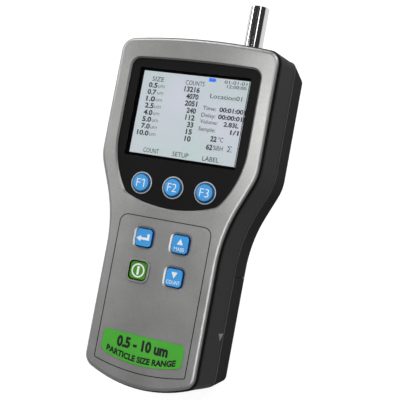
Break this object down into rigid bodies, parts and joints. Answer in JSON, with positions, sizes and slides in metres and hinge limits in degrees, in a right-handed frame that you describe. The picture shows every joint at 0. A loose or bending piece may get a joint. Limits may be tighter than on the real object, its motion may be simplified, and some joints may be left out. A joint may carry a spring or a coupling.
{
  "type": "handheld airborne particle counter",
  "caption": "Handheld air particle counter with a waisted three-shell case, colour screen, pressable keys, polished inlet tube and sliding battery door, lying on its back.",
  "frame": {"origin": "centre of the overall box in plan, on the surface the instrument's back rests on", "axes": "+Y from the battery heel towards the inlet tube, +Z out of the screen face, +X to the right when the screen is read"},
  "size_m": [0.1094, 0.2496, 0.0589],
  "materials": {
    "silver_paint": "satin silver paint on moulded plastic",
    "mid_plastic": "dark grey moulded plastic, fine texture",
    "rear_plastic": "near-black moulded plastic, fine texture",
    "bezel_plastic": "smooth black",
    "window": "clear flat window with hard coat",
    "lcd_image": "lit liquid-crystal panel with text",
    "dark_metal": "black painted sheet metal",
    "gasket_foam": "closed-cell foam",
    "ring_plastic": "light grey, glossy",
    "key_blue": "blue, semi-gloss, white symbols",
    "key_green": "green, semi-gloss, white symbol",
    "silicone": "translucent grey silicone",
    "label_film": "green printed film",
    "circuit_board": "green solder mask",
    "zinc_steel": "zinc-plated steel",
    "black_steel": "black oxide steel",
    "brass": "turned brass",
    "plate_aluminium": "bent sheet, clear passivated",
    "black_anodised": "black anodised",
    "black_part": "black moulded plastic",
    "polished_steel": "polished stainless steel",
    "black_rubber": "black rubber",
    "white_plastic": "white moulded plastic",
    "clear_hose": "translucent silicone hose",
    "battery_wrap": "blue heat-shrink wrap",
    "nickel": "nickel-plated spring steel"
  },
  "bodies": {
    "housing": {"air_filter": "white_plastic", "battery_contacts": "nickel", "battery_pack": "battery_wrap", "beam_trap": "black_anodised", "board_spacers": "brass", "buzzer": "black_part", "case_screws": "black_steel", "chassis_plate": "plate_aluminium", "dc_jack": "black_part", "display_bezel": "bezel_plastic", "display_lens": "window", "exhaust_fitting": "brass", "exhaust_hose": "clear_hose", "front_board": "circuit_board", "front_board_screws": "black_steel", "front_cover": "silver_paint", "humidity_sensor": "black_part", "inlet_grommet": "black_rubber", "inlet_tube": "polished_steel", "key_ring_f1": "ring_plastic", "key_ring_f2": "ring_plastic", "key_ring_f3": "ring_plastic", "keypad_mat": "silicone", "label_strip": "label_film", "laser_module": "brass", "lcd_frame": "dark_metal", "lcd_gasket": "gasket_foam", "lcd_glass": "lcd_image", "main_board": "circuit_board", "mid_case": "mid_plastic", "optical_chamber": "black_anodised", "photodetector": "black_part", "pressure_hose": "clear_hose", "pump_head": "black_part", "pump_motor": "zinc_steel", "rear_case": "rear_plastic", "sensor_board": "circuit_board", "suction_hose": "clear_hose", "tripod_insert": "brass", "usb_port": "nickel"},
    "key_f1": {"key_f1": "key_blue"},
    "key_f2": {"key_f2": "key_blue"},
    "key_f3": {"key_f3": "key_blue"},
    "key_enter": {"key_enter": "key_blue"},
    "key_up": {"key_up": "key_blue"},
    "key_power": {"key_power": "key_green"},
    "key_down": {"key_down": "key_blue"},
    "battery_door": {"battery_door": "rear_plastic", "battery_pad": "gasket_foam"}
  },
  "joints": [
    {"name": "key_f1_press", "type": "slide", "parent": "housing", "child": "key_f1", "axis": [0, 0, -1], "range_m": [0, 0.0008], "stiffness_N_per_m": 600, "springref_m": -0.0008},
    {"name": "key_f2_press", "type": "slide", "parent": "housing", "child": "key_f2", "axis": [0, 0, -1], "range_m": [0, 0.0008], "stiffness_N_per_m": 600, "springref_m": -0.0008},
    {"name": "key_f3_press", "type": "slide", "parent": "housing", "child": "key_f3", "axis": [0, 0, -1], "range_m": [0, 0.0008], "stiffness_N_per_m": 600, "springref_m": -0.0008},
    {"name": "key_enter_press", "type": "slide", "parent": "housing", "child": "key_enter", "axis": [0, 0, -1], "range_m": [0, 0.0008], "stiffness_N_per_m": 600, "springref_m": -0.0008},
    {"name": "key_up_press", "type": "slide", "parent": "housing", "child": "key_up", "axis": [0, 0, -1], "range_m": [0, 0.0008], "stiffness_N_per_m": 600, "springref_m": -0.0008},
    {"name": "key_power_press", "type": "slide", "parent": "housing", "child": "key_power", "axis": [0, 0, -1], "range_m": [0, 0.0008], "stiffness_N_per_m": 600, "springref_m": -0.0008},
    {"name": "key_down_press", "type": "slide", "parent": "housing", "child": "key_down", "axis": [0, 0, -1], "range_m": [0, 0.0008], "stiffness_N_per_m": 600, "springref_m": -0.0008},
    {"name": "battery_door_slide", "type": "slide", "parent": "housing", "child": "battery_door", "axis": [0, -1, 0], "range_m": [0, 0.058]}
  ]
}
